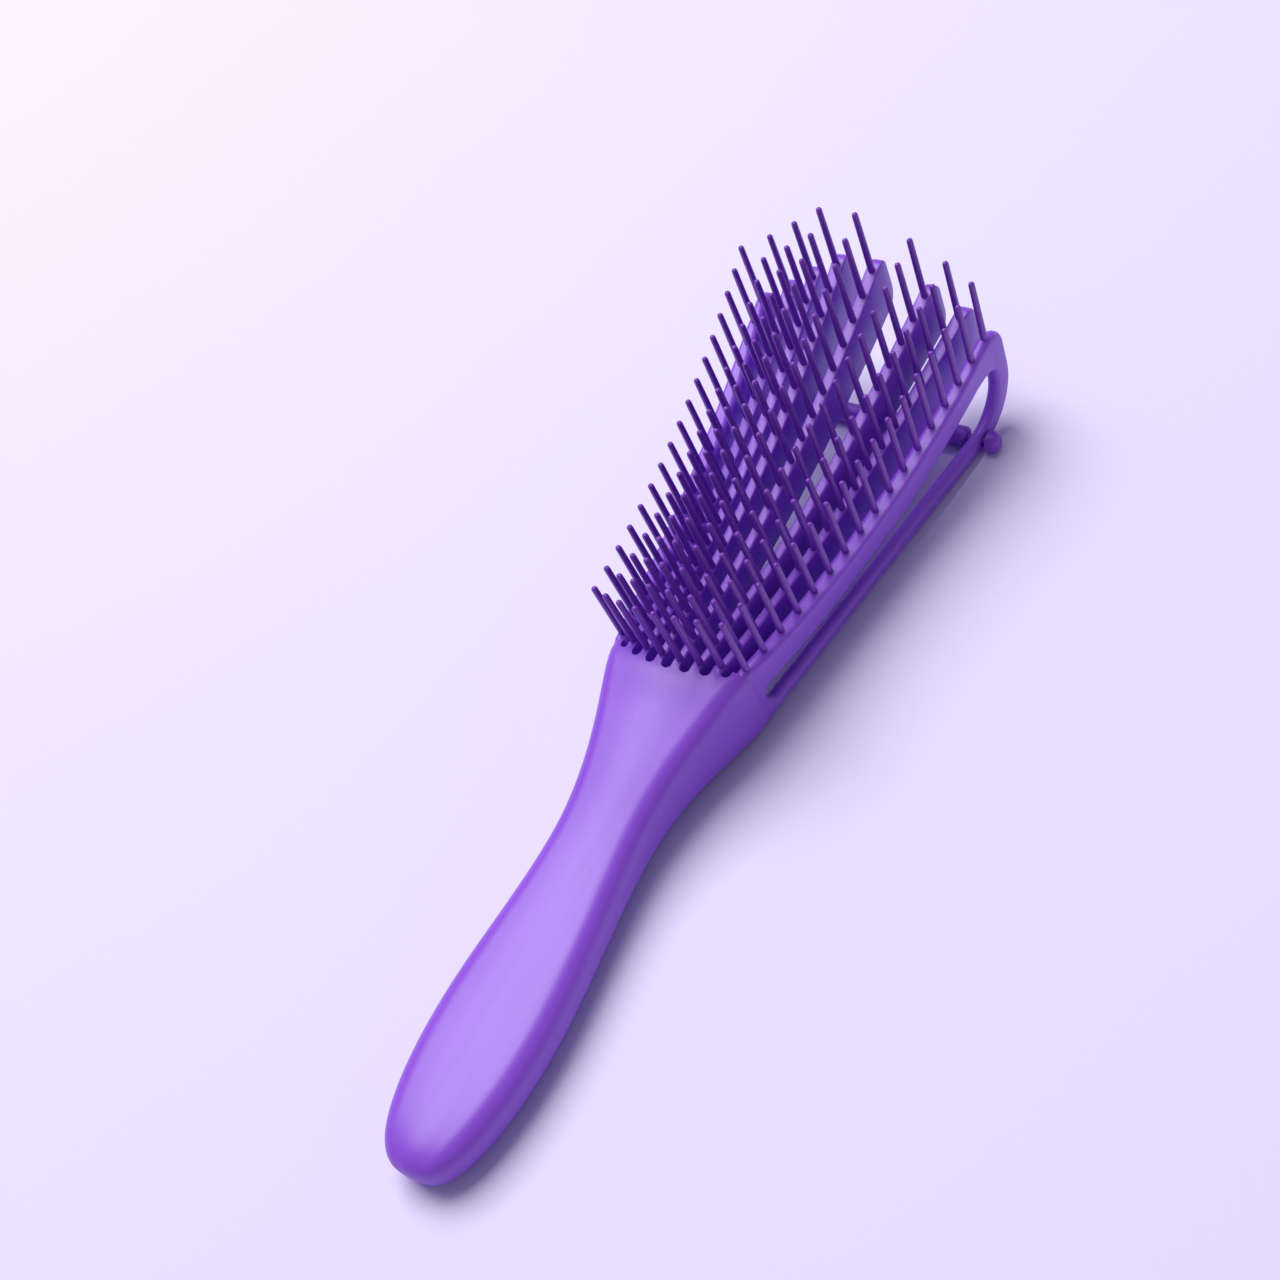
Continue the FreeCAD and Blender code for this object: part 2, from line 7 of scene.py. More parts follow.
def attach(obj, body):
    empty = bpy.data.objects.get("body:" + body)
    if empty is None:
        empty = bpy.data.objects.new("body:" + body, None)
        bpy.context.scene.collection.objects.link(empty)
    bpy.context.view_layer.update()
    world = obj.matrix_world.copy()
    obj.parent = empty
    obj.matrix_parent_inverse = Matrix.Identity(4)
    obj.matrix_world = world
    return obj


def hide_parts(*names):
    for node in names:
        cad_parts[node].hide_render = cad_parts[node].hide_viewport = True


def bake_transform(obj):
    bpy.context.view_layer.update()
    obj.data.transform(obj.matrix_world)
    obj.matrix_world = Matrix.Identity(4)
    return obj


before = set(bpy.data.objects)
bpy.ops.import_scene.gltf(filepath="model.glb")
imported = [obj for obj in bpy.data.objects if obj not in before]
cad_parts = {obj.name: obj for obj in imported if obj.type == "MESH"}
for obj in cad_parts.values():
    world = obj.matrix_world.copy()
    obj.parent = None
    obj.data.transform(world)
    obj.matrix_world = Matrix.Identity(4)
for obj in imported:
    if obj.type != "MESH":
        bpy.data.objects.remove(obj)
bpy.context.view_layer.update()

# Handle: the teardrop paddle with its waist, and the neck that flares into the comb of fingers.
# Injection-moulded polypropylene, one shot with the fingers, satin from a fine spark-eroded tool.
# The brush lies on its back, on the end of the handle and on the two back bars.
MILLIMETRE = 0.001

# every piece is drawn in the mould's own frame, in millimetres: X runs to the finger tips and Z along the
# bristles, from an origin on the neck's front; lying puts it on the table
rest_tilt = math.radians(7.626)
rest_shift = 2.316
rest_lift = 26.753
lying = (
    Matrix.Scale(MILLIMETRE, 4)
    @ Matrix.Translation((rest_shift, 0, rest_lift))
    @ Matrix.Rotation(-rest_tilt, 4, "Y")
)

# place along the handle, half width, front, crown of the front, back, depth of the front and back rounding
handle_sections = (
    (8, 19.1, -1.5, 3.4, -25.7, 3.6, 1.6),
    (-1.6, 17.6, 2.1, 3, -24.7, 3.6, 1.6),
    (-9, 15.9, -0.2, 2, -23.7, 3.8, 2.6),
    (-20, 12.9, -1.9, 1.2, -22.3, 4, 4.4),
    (-31, 11.0, -3.3, 0.9, -21.0, 4, 5),
    (-42, 10.3, -4.3, 0.7, -19.8, 4, 5),
    (-54, 11.1, -4.4, 0.7, -18.4, 4, 5.2),
    (-68, 12.6, -3.5, 0.7, -16.9, 4.2, 5.4),
    (-84, 14.2, -1.8, 0.7, -15.1, 4.4, 5.6),
    (-100, 13.9, 0, 0.7, -13.3, 4.4, 5.6),
    (-111, 12.1, 1.2, 0.7, -12.0, 4.4, 5.6),
    (-118, 9.9, 1.6, 0.7, -11.1, 4.2, 5.4),
    (-122.3, 7.1, 0.9, 0.7, -9.9, 3.4, 4),
    (-124.6, 3.6, -1.2, 0.7, -7.6, 2, 2),
)
rounding_spread = 1.25
section_segments = 5
handle_subdivisions = 2
neck_end_x = 1.5
root_axis_x = -4.2
root_spreads = (15.4, 11.3, 6.8, 2.3, -2.3, -6.8, -11.3, -15.4)
inner_root_half = 0.95
outer_root_half = 0.85

# the slots' closed ends lie on an arc across the neck, and a cutter reaches past the neck's end and front
slot_end_x = -3.4
slot_end_rise = 3.6
slot_depth = 12
outermost_slot_depth = 36
slot_reach = 12
slot_segments = 8
slot_round_share = 0.98

satin_light = "#9350E0"
satin_deep = "#8947D7"
handle_roughness = 0.4
handle_streak_mm = 40

# edges sharper than this stay crisp, and a corner within this reach of a place is picked with it
crisp_degrees = 40
pick_reach = 0.01


def hex_colour(text):
    """Linear colour of an sRGB hex value."""
    shares = [int(text[place:place + 2], 16) / 255 for place in (1, 3, 5)]
    linear = [share / 12.92 if share <= 0.04045 else ((share + 0.055) / 1.055) ** 2.4 for share in shares]
    return (*linear, 1)


def add_node(tree, kind, inputs, **settings):
    """A shader node with its settings; an input is a value, or the socket that feeds it."""
    node = tree.nodes.new(kind)
    for name, value in settings.items():
        setattr(node, name, value)
    for name, value in inputs.items():
        if isinstance(value, bpy.types.NodeSocket):
            tree.links.new(value, node.inputs[name])
        else:
            node.inputs[name].default_value = value
    return node


def satin_polypropylene(name, light, deep, roughness, streak_mm):
    """Moulded polypropylene: faint clouds in the pigment, flow streaks along the part that change the
    gloss, and an even spark-eroded grain, drawn at half a millimetre so that it shows."""
    cloud_mm = 24
    cloud_detail = 3.0
    streak_width_mm = 1.6
    streak_low = 0.3
    streak_high = 0.7
    gloss_play = 0.015
    grain_mm = 0.5
    grain_depth_mm = 0.05
    grain_strength = 0.12
    fine_detail = 2.0
    # polypropylene has 1.49, raised to match the sheen of the pigmented surface
    ior = 1.62

    material = bpy.data.materials.new(name)
    material.use_nodes = True
    tree = material.node_tree
    tree.nodes.clear()
    place = add_node(tree, "ShaderNodeTexCoord", {}).outputs["Object"]
    cloud = add_node(tree, "ShaderNodeTexNoise", {
        "Vector": place, "Scale": 1 / (cloud_mm * MILLIMETRE), "Detail": cloud_detail})
    pigment = add_node(tree, "ShaderNodeMix", {
        "Factor": cloud.outputs["Fac"], "A": hex_colour(deep), "B": hex_colour(light)}, data_type="RGBA")
    along = 1 / (streak_mm * MILLIMETRE)
    across = 1 / (streak_width_mm * MILLIMETRE)
    stretched = add_node(tree, "ShaderNodeMapping", {"Vector": place, "Scale": (along, across, across)})
    streaks = add_node(tree, "ShaderNodeTexNoise", {
        "Vector": stretched.outputs["Vector"], "Scale": 1.0, "Detail": fine_detail})
    gloss = add_node(tree, "ShaderNodeMapRange", {
        "Value": streaks.outputs["Fac"], "From Min": streak_low, "From Max": streak_high,
        "To Min": roughness - gloss_play, "To Max": roughness + gloss_play})
    grain = add_node(tree, "ShaderNodeTexNoise", {
        "Vector": place, "Scale": 1 / (grain_mm * MILLIMETRE), "Detail": fine_detail})
    dimples = add_node(tree, "ShaderNodeBump", {
        "Height": grain.outputs["Fac"], "Strength": grain_strength,
        "Distance": grain_depth_mm * MILLIMETRE})
    surface = add_node(tree, "ShaderNodeBsdfPrincipled", {
        "Base Color": pigment.outputs["Result"], "Roughness": gloss.outputs["Result"],
        "Normal": dimples.outputs["Normal"], "IOR": ior})
    add_node(tree, "ShaderNodeOutputMaterial", {"Surface": surface.outputs["BSDF"]})
    return material


def near(value, place):
    """Whether a coordinate is at this place."""
    return abs(value - place) < pick_reach


def choose(piece, kind, test):
    """Selects, in edit mode, the vertices, edges or polygons whose corners all pass the test."""
    bpy.ops.mesh.select_mode(type={"vertices": "VERT", "edges": "EDGE", "polygons": "FACE"}[kind])
    bpy.ops.mesh.select_all(action="DESELECT")
    bpy.ops.object.mode_set(mode="OBJECT")
    points = piece.data.vertices
    for item in getattr(piece.data, kind):
        corners = [item.co] if kind == "vertices" else [points[number].co for number in item.vertices]
        item.select = all(test(corner) for corner in corners)
    bpy.ops.object.mode_set(mode="EDIT")


def choose_upright(piece, x):
    """Selects, in edit mode, the upright edges up to this place along the brush."""
    bpy.ops.object.mode_set(mode="OBJECT")
    points = piece.data.vertices
    for edge in piece.data.edges:
        start, end = [points[number].co for number in edge.vertices]
        edge.select = max(start.x, end.x) < x + pick_reach and not near(start.z, end.z)
    bpy.ops.object.mode_set(mode="EDIT")


def start_square(name, centre, turn):
    """A square of side 1 about a centre, alone selected and open for editing."""
    bpy.ops.object.select_all(action="DESELECT")
    bpy.ops.mesh.primitive_plane_add(size=1, location=centre, rotation=turn)
    piece = bpy.context.object
    piece.name = name
    piece.data.name = name
    bpy.ops.object.transform_apply(location=True, rotation=True, scale=True)
    bpy.ops.object.mode_set(mode="EDIT")
    bpy.ops.mesh.select_mode(type="VERT")
    bpy.ops.mesh.select_all(action="SELECT")
    return piece


def add_ring(piece, section):
    """One section of the handle: a crowned front, and corners wider across than they are deep."""
    along, half, front, crown, back, front_depth, back_depth = section
    shoulder = front - crown
    middle = Vector((along, 0, (shoulder + back) / 2))
    bpy.ops.mesh.primitive_plane_add(size=1, location=middle, rotation=(0, math.pi / 2, 0))
    bpy.ops.transform.resize(
        value=(1, 2 * half / rounding_spread, shoulder - back), center_override=middle)
    for height, depth in ((shoulder, front_depth), (back, back_depth)):
        choose(piece, "vertices", lambda corner: near(corner.x, along) and near(corner.z, height))
        bpy.ops.mesh.bevel(offset=depth, segments=section_segments, affect="VERTICES")
    choose(piece, "vertices", lambda corner: near(corner.x, along))
    bpy.ops.transform.resize(value=(1, rounding_spread, 1), center_override=middle)
    choose(piece, "edges", lambda corner: near(corner.x, along) and near(corner.z, shoulder))
    bpy.ops.mesh.subdivide()
    choose(piece, "vertices", lambda corner: near(corner.x, along) and near(corner.y, 0)
           and corner.z > shoulder - pick_reach)
    bpy.ops.transform.translate(value=(0, 0, crown))


def bridge_rings(name, sections):
    """A closed skin over a row of rounded sections, which are added to an emptied mesh."""
    piece = start_square(name, (0, 0, 0), (0, 0, 0))
    bpy.ops.mesh.delete(type="VERT")
    for section in sections:
        add_ring(piece, section)
    bpy.ops.mesh.select_all(action="SELECT")
    bpy.ops.mesh.delete(type="ONLY_FACE")
    bpy.ops.mesh.select_all(action="SELECT")
    bpy.ops.mesh.bridge_edge_loops()
    for section in (sections[0], sections[-1]):
        choose(piece, "vertices", lambda corner: near(corner.x, section[0]))
        bpy.ops.mesh.edge_face_add()
    bpy.ops.mesh.select_all(action="SELECT")
    bpy.ops.mesh.normals_make_consistent(inside=False)
    bpy.ops.object.mode_set(mode="OBJECT")
    return piece


def apply_modifier(piece, kind, **settings):
    """Adds a modifier with its settings and applies it."""
    modifier = piece.modifiers.new(kind.lower(), kind)
    for name, value in settings.items():
        setattr(modifier, name, value)
    bpy.context.view_layer.objects.active = piece
    bpy.ops.object.modifier_apply(modifier=modifier.name)


def cut_away(piece, cutter):
    """Takes the cutter's solid out of the piece and discards the cutter."""
    apply_modifier(piece, "BOOLEAN", operation="DIFFERENCE", solver="EXACT", object=cutter)
    bpy.data.objects.remove(cutter)


def make_slot_cutter(left, right, depth):
    """The space between two finger roots, round at its closed end."""
    middle = (left + right) / 2
    closed_x = slot_end_x + slot_end_rise * (middle / root_spreads[0]) ** 2
    length = slot_reach - closed_x
    bpy.ops.object.select_all(action="DESELECT")
    bpy.ops.mesh.primitive_cube_add(
        size=1,
        location=(closed_x + length / 2, middle, (slot_reach - depth) / 2),
        scale=(length, left - right, slot_reach + depth))
    cutter = bpy.context.object
    bpy.ops.object.transform_apply(location=True, rotation=True, scale=True)
    bpy.ops.object.mode_set(mode="EDIT")
    bpy.ops.mesh.select_mode(type="EDGE")
    choose_upright(cutter, closed_x)
    bpy.ops.mesh.bevel(
        offset=(left - right) / 2 * slot_round_share, segments=slot_segments, affect="EDGES")
    bpy.ops.object.mode_set(mode="OBJECT")
    return cutter


def finish_piece(piece, seat, material, crisp_from):
    """Seats a piece in the brush with its place in its mesh, smooths it up to an angle and paints it."""
    bpy.ops.object.select_all(action="DESELECT")
    piece.select_set(True)
    bpy.context.view_layer.objects.active = piece
    piece.matrix_world = seat
    bpy.ops.object.transform_apply(location=True, rotation=True, scale=True)
    bpy.ops.object.shade_smooth_by_angle(angle=math.radians(crisp_from))
    piece.data.materials.clear()
    piece.data.materials.append(material)


handle_plastic = satin_polypropylene(
    "satin_polypropylene_handle", satin_light, satin_deep, handle_roughness, handle_streak_mm)
handle = bridge_rings("handle_moulding", handle_sections)
apply_modifier(handle, "SUBSURF", levels=handle_subdivisions, render_levels=handle_subdivisions)
bpy.ops.object.mode_set(mode="EDIT")
bpy.ops.mesh.select_all(action="SELECT")
bpy.ops.mesh.bisect(
    plane_co=(neck_end_x, 0, 0), plane_no=(1, 0, 0), use_fill=True, clear_outer=True)
bpy.ops.object.mode_set(mode="OBJECT")
last_finger = len(root_spreads) - 1
for number in range(last_finger):
    is_outermost = number in (0, last_finger - 1)
    left_half = outer_root_half if number == 0 else inner_root_half
    right_half = outer_root_half if number + 1 == last_finger else inner_root_half
    cut_away(handle, make_slot_cutter(
        root_spreads[number] - left_half, root_spreads[number + 1] + right_half,
        outermost_slot_depth if is_outermost else slot_depth))
finish_piece(handle, lying, handle_plastic, crisp_degrees)
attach(handle, "handle")
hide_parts("handle")

# Inner fingers: six sprung blades of the same moulding that fan out from the neck, hollow along the front.
# Each grows out of the neck between two slots and bends there when hair pulls it sideways.
tip_spreads = (30.8, 22.9, 14.5, 5.1, -5.1, -14.5, -22.9, -30.8)
tip_sets = (0, 1.5, 0.6, 1.3, 2.1, -0.6, 0.8, 0)
fan_length = 110.7

# fingers come in mirrored pairs, from the middle pair 1 to the outer pair 4
pairs = (4, 3, 2, 1, 1, 2, 3, 4)
outer_pair = 4
blade_lengths = {1: 119.5, 2: 120.5, 3: 121.9, 4: 118.3}
root_fronts = {1: 0.5, 2: 0.3, 3: -0.4, 4: -1.8}
tip_fronts = {1: 6.7, 2: -0.6, 3: -8.7, 4: -8.7}
bows = {1: 0.22, 2: 0.66, 3: 1.1, 4: 0}
blade_start = 1
blade_out = 4.7
blade_buried = -2.5
blade_buried_drop = 3
blade_root_depth = 10.2
blade_tip_depth = 15.4
blade_tip_width = 3.6
blade_tip_round = 4.2
blade_tip_narrowing = 0.4
blade_edge_round = 0.5
blade_edge_segments = 3
blade_edge_degrees = 45
blade_stations = 15
tip_stations = 6
front_radius = 240
back_radius = 350
# the comb is drawn a little deeper than the handle, though the brush is one colour: painted shade that
# darkens the finger walls
comb_light_with_painted_shade = "#8E48D8"
comb_deep_with_painted_shade = "#843FCE"
comb_roughness = 0.4
comb_streak_mm = 30


def arc_height(start, end, radius, along):
    """Height at a distance along an arc that hangs between two points."""
    middle = (Vector(start) + Vector(end)) / 2
    chord = Vector(end) - Vector(start)
    reach = math.sqrt(radius ** 2 - chord.length_squared / 4) / chord.length
    centre = middle + Vector((-chord.y, chord.x)) * reach
    return centre.y - math.sqrt(radius ** 2 - (along - centre.x) ** 2)


def front_height(pair, along):
    """Height of a finger's hollow front at a distance along it."""
    return arc_height(
        (blade_start, root_fronts[pair]), (blade_lengths[pair], tip_fronts[pair]), front_radius, along)


def bow_offset(number, along):
    """Sideways offset of a finger's middle line: more from pair to pair outwards, none in the outer pair."""
    pair = pairs[number]
    half = blade_lengths[pair] / 2
    return math.copysign(bows[pair], root_spreads[number]) * ((along / half - 1) ** 2 - 1)


def finger_yaw(number):
    """Direction of a finger seen from the front."""
    return math.atan2(tip_spreads[number] - root_spreads[number] + tip_sets[number], fan_length)


def finger_seat(number):
    """Where a finger's root axis stands on the lying brush."""
    root = Matrix.Translation((root_axis_x, root_spreads[number], 0))
    return lying @ root @ Matrix.Rotation(finger_yaw(number), 4, "Z")


def bend_at_root(piece):
    """Bakes a finger's place on the brush into its mesh."""
    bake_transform(piece)


def section_middle(section):
    """Centre of a section given by place along, middle across, width, front and back."""
    along, across, width, front, back = section
    return Vector((along, across, (front + back) / 2))


def loft_square(name, sections):
    """A square section drawn out through all the sections, each extruded from the last and resized."""
    piece = start_square(name, section_middle(sections[0]), (0, math.pi / 2, 0))
    old_width, old_height = 1, 1
    for number, section in enumerate(sections):
        along, across, width, front, back = section
        middle = section_middle(section)
        if number:
            move = middle - section_middle(sections[number - 1])
            bpy.ops.mesh.extrude_region_move(TRANSFORM_OT_translate={"value": move})
        height = front - back
        bpy.ops.transform.resize(
            value=(1, width / old_width, height / old_height), center_override=middle)
        old_width, old_height = width, height
    bpy.ops.mesh.select_all(action="SELECT")
    bpy.ops.mesh.normals_make_consistent(inside=False)
    bpy.ops.object.mode_set(mode="OBJECT")
    return piece


def blade_sections(number):
    """Sections of an inner finger, from its foot sunk in the neck to its round tip."""
    pair = pairs[number]
    length = blade_lengths[pair]
    root_width = 2 * inner_root_half
    back_root = (blade_start, root_fronts[pair] - blade_root_depth)
    back_tip = (length, tip_fronts[pair] - blade_tip_depth)
    straight = length - blade_tip_round - blade_out
    places = [(blade_out + straight * station / blade_stations, 0) for station in range(blade_stations)]
    for station in range(tip_stations + 1):
        angle = math.pi / 2 * station / tip_stations
        places.append((
            length - blade_tip_round * (1 - math.sin(angle)), blade_tip_round * (1 - math.cos(angle))))
    sunk_front = front_height(pair, blade_buried) - blade_buried_drop
    sections = [(blade_buried, 0, root_width, sunk_front, back_root[1])]
    for along, drop in places:
        share = (along - blade_start) / (length - blade_start)
        width = root_width + (blade_tip_width - root_width) * share
        width *= 1 - blade_tip_narrowing * drop / blade_tip_round
        front = front_height(pair, along) - drop
        back = arc_height(back_root, back_tip, back_radius, along) + drop
        sections.append((along, bow_offset(number, along), width, front, back))
    return sections


# painted shade: the fingers take the deeper comb colours rather than the handle's
comb_plastic_with_painted_shade = satin_polypropylene(
    "satin_polypropylene_comb_painted_shade", comb_light_with_painted_shade, comb_deep_with_painted_shade, comb_roughness, comb_streak_mm)
for number in range(1, last_finger):
    blade = loft_square(f"finger_{number + 1}_moulding", blade_sections(number))
    apply_modifier(
        blade, "BEVEL", width=blade_edge_round, segments=blade_edge_segments, limit_method="ANGLE",
        angle_limit=math.radians(blade_edge_degrees))
    finish_piece(blade, finger_seat(number), comb_plastic_with_painted_shade, crisp_degrees)
    bend_at_root(blade)
    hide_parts(f"finger_{number + 1}")

# Outer loops: each outer finger swells outwards, hooks over at its tip and comes back along the rear as a
# slim bar. It is one moulding with the handle and has its plastic, with a long opening between finger and
# bar, and a small eyelet in the bar for the cross rod.
loop_thickness = 3.5
loop_edge_round = 1.6
loop_edge_segments = 4
loop_edge_degrees = 60
corner_segments = 7
loop_outer = blade_lengths[outer_pair]
loop_tip = (loop_outer, tip_fronts[outer_pair])
loop_tip_round = 7
loop_out = 6.2
loop_buried = -2.5
loop_buried_front = -4.6
loop_buried_back = -21.5
loop_buried_inset = 1
loop_root_back = -24.6
bar_start = (12.2, -25.3)
hook_radius = 15.5
hook_thickness = 5.2
hook_swell = 1.2
hook_centre = (loop_outer - hook_radius, -24.4)
hook_end = (99.9, -39.6)
hook_steps = 14
opening_front = (9.3, -15.1)
opening_back = (9.3, -20.9)
opening_round = 2.4
opening_apex = (106.4, -19.5)
apex_round = 3
opening_corner = (loop_outer - hook_thickness - hook_swell, -20.5)
opening_corner_round = 1.5
opening_radius = 207
opening_cutter_thickness = 3 * loop_thickness
shoulder_start = 6
shoulder_end = 111
shoulder_swell = 1.9
shoulder_sunk = 0.3
shoulder_wall = loop_thickness / 2 - shoulder_sunk
shoulder_front_sunk = 0.075
shoulder_outside = 1
shoulder_round = 1.4
shoulder_segments = 6
rod_x = 96.6
rod_z = -37.1
eyelet_radius = 1.6
eyelet_sides = 24
eyelet_cutter_length = 4 * loop_thickness


def trace_outline(name, corners, thickness):
    """A flat outline on one side of a plate of this thickness, drawn corner by corner and filled."""
    first = Vector((corners[0][0], -thickness / 2, corners[0][1]))
    piece = start_square(name, first, (0, 0, 0))
    bpy.ops.mesh.merge(type="CENTER")
    for number in range(1, len(corners)):
        along = corners[number][0] - corners[number - 1][0]
        height = corners[number][1] - corners[number - 1][1]
        bpy.ops.mesh.extrude_vertices_move(TRANSFORM_OT_translate={"value": (along, 0, height)})
    bpy.ops.mesh.select_all(action="SELECT")
    bpy.ops.mesh.edge_face_add()
    return piece


def round_corner(piece, corner, radius):
    """Rounds one corner of a flat outline."""
    target = Vector(corner)
    choose(piece, "vertices", lambda point: (Vector((point.x, point.z)) - target).length < pick_reach)
    bpy.ops.mesh.bevel(offset=radius, segments=corner_segments, affect="VERTICES")


def thicken_outline(piece, thickness):
    """Gives a flat outline its thickness."""
    bpy.ops.mesh.select_mode(type="FACE")
    bpy.ops.mesh.select_all(action="SELECT")
    bpy.ops.mesh.extrude_region_move(TRANSFORM_OT_translate={"value": (0, thickness, 0)})
    bpy.ops.mesh.select_all(action="SELECT")
    bpy.ops.mesh.normals_make_consistent(inside=False)
    bpy.ops.object.mode_set(mode="OBJECT")


def hook_points(radius):
    """The hook's arc about its centre, from its outermost point down to the bar."""
    x, z = hook_centre
    last = math.atan2(hook_end[1] - z, hook_end[0] - x)
    angles = [last * step / hook_steps for step in range(hook_steps + 1)]
    return [(x + radius * math.cos(angle), z + radius * math.sin(angle)) for angle in angles]


def finger_back(along):
    """Height of an outer finger's back, the front edge of the opening; past the apex it stays level."""
    return arc_height(opening_front, opening_apex, opening_radius, min(along, opening_apex[0]))


def make_loop(name):
    """The plate of a loop: along the finger's front, over its tip, round the hook and back along the bar."""
    outline = [(loop_buried, loop_buried_front)]
    for station in range(blade_stations):
        along = loop_out + (loop_outer - loop_out) * station / blade_stations
        outline.append((along, front_height(outer_pair, along)))
    outline += [loop_tip, *hook_points(hook_radius), bar_start]
    outline += [(blade_start, loop_root_back), (loop_buried, loop_buried_back)]
    loop = trace_outline(name, outline, loop_thickness)
    round_corner(loop, loop_tip, loop_tip_round)
    thicken_outline(loop, loop_thickness)
    return loop


def make_opening_cutter():
    """The space inside a loop: along the finger's back, down the hook and back along the bar."""
    start, end = opening_front[0], opening_apex[0]
    outline = [opening_front]
    for station in range(1, blade_stations):
        along = start + (end - start) * station / blade_stations
        outline.append((along, finger_back(along)))
    outline += [opening_apex, opening_corner]
    outline += [(along - hook_swell, height) for along, height in hook_points(hook_radius - hook_thickness)]
    outline.append(opening_back)
    cutter = trace_outline("opening_cutter", outline, opening_cutter_thickness)
    round_corner(cutter, opening_apex, apex_round)
    round_corner(cutter, opening_corner, opening_corner_round)
    round_corner(cutter, opening_front, opening_round)
    round_corner(cutter, opening_back, opening_round)
    thicken_outline(cutter, opening_cutter_thickness)
    return cutter


def shoulder_back(along):
    """Height at which an outer finger's swelling dies out, clear of the finger's rounded back edge."""
    return finger_back(along) + loop_edge_round


def add_shoulder(loop, outward):
    """Swells an outer finger outwards along its front, and lets the swelling die out towards its back."""
    sections = []
    for station in range(blade_stations + 1):
        share = station / blade_stations
        along = shoulder_start + (shoulder_end - shoulder_start) * share
        reach = shoulder_wall + shoulder_swell * math.sqrt(math.sin(math.pi * share))
        front = front_height(outer_pair, along) - shoulder_front_sunk
        sections.append((along, outward * reach / 2, reach, front, shoulder_back(along)))
    shoulder = loft_square("shoulder", sections)
    bpy.ops.object.mode_set(mode="EDIT")
    choose(shoulder, "vertices", lambda corner: corner.y * outward > shoulder_outside
           and corner.z < shoulder_back(corner.x) + pick_reach)
    bpy.ops.transform.resize(value=(1, 0, 1), center_override=(0, outward * shoulder_wall, 0))
    choose(shoulder, "edges", lambda corner: corner.y * outward > shoulder_outside
           and corner.z > shoulder_back(corner.x) + shoulder_round)
    bpy.ops.mesh.bevel(
        offset=shoulder_round, segments=shoulder_segments, affect="EDGES", clamp_overlap=True)
    bpy.ops.object.mode_set(mode="OBJECT")
    apply_modifier(loop, "BOOLEAN", operation="UNION", solver="EXACT", object=shoulder)
    bpy.data.objects.remove(shoulder)


def make_eyelet_cutter(number):
    """The eyelet's bore, square to the brush's middle line and not to the finger."""
    yaw = finger_yaw(number)
    along = (rod_x - root_axis_x) / math.cos(yaw)
    bpy.ops.object.select_all(action="DESELECT")
    bpy.ops.mesh.primitive_cylinder_add(
        vertices=eyelet_sides, radius=eyelet_radius, depth=eyelet_cutter_length,
        location=(along, 0, rod_z), rotation=(math.pi / 2, 0, -yaw))
    return bpy.context.object


for number, side, outward in ((0, "left", 1), (last_finger, "right", -1)):
    loop = make_loop(f"{side}_loop_moulding")
    bpy.ops.object.mode_set(mode="EDIT")
    choose(loop, "vertices",
           lambda corner: corner.x < loop_buried + pick_reach and corner.y * outward > 0)
    bpy.ops.transform.translate(value=(0, -outward * loop_buried_inset, 0))
    bpy.ops.object.mode_set(mode="OBJECT")
    cut_away(loop, make_opening_cutter())
    apply_modifier(
        loop, "BEVEL", width=loop_edge_round, segments=loop_edge_segments, limit_method="ANGLE",
        angle_limit=math.radians(loop_edge_degrees), use_clamp_overlap=False)
    add_shoulder(loop, outward)
    cut_away(loop, make_eyelet_cutter(number))
    finish_piece(loop, finger_seat(number), handle_plastic, crisp_degrees)
    bend_at_root(loop)
    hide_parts(f"finger_{number + 1}", f"{side}_back_bar")

# Bristles: straight round pins with domed tips, all parallel, in one row along the front of each finger.
# They are moulded in one shot with the finger, so each stands a little sunk in its front.
bristle_radius = 0.9
bristle_tip_share = 0.84
bristle_dome_share = 0.9
bristle_dome_segments = 3
bristle_length = 19.9
bristle_sunk = 0.6
bristle_sides = 10
bristle_crisp_degrees = 60
bristle_pitch = 6.5
first_bristles = {1: 0, 2: 0.6, 3: 1.8, 4: 3.6}
bristle_counts = {1: 18, 2: 18, 3: 18, 4: 17}
# the pins are drawn deeper than the handle, though they are the same plastic: painted shade for their sides,
# which face away from the light
bristle_light_with_painted_shade = "#8038BE"
bristle_deep_with_painted_shade = "#7432B0"
bristle_roughness = 0.36
bristle_streak_mm = 20


def make_pin():
    """One pin, standing at the origin with its foot sunk."""
    height = bristle_length + bristle_sunk
    bpy.ops.object.select_all(action="DESELECT")
    bpy.ops.mesh.primitive_cylinder_add(
        vertices=bristle_sides, radius=bristle_radius, depth=height,
        location=(0, 0, height / 2 - bristle_sunk))
    pin = bpy.context.object
    bpy.ops.object.transform_apply(location=True, rotation=True, scale=True)
    bpy.ops.object.mode_set(mode="EDIT")
    choose(pin, "edges", lambda corner: corner.z > bristle_length - pick_reach)
    bpy.ops.transform.resize(
        value=(bristle_tip_share, bristle_tip_share, 1), center_override=(0, 0, bristle_length))
    tip_radius = bristle_radius * bristle_tip_share
    bpy.ops.mesh.bevel(
        offset=tip_radius * bristle_dome_share, segments=bristle_dome_segments, affect="EDGES")
    bpy.ops.object.mode_set(mode="OBJECT")
    return pin


def plant_row(pin, number):
    """A finger's row of copies of the pin, joined into one mesh."""
    pair = pairs[number]
    row = []
    for place in range(bristle_counts[pair]):
        distance = first_bristles[pair] + bristle_pitch * place - root_axis_x
        along = distance / math.cos(finger_yaw(number))
        copy = pin.copy()
        copy.data = pin.data.copy()
        copy.location = (along, bow_offset(number, along), front_height(pair, along))
        bpy.context.scene.collection.objects.link(copy)
        row.append(copy)
    bpy.ops.object.select_all(action="DESELECT")
    for copy in row:
        copy.select_set(True)
    bpy.context.view_layer.objects.active = row[0]
    bpy.ops.object.transform_apply(location=True, rotation=True, scale=True)
    bpy.ops.object.join()
    return row[0]
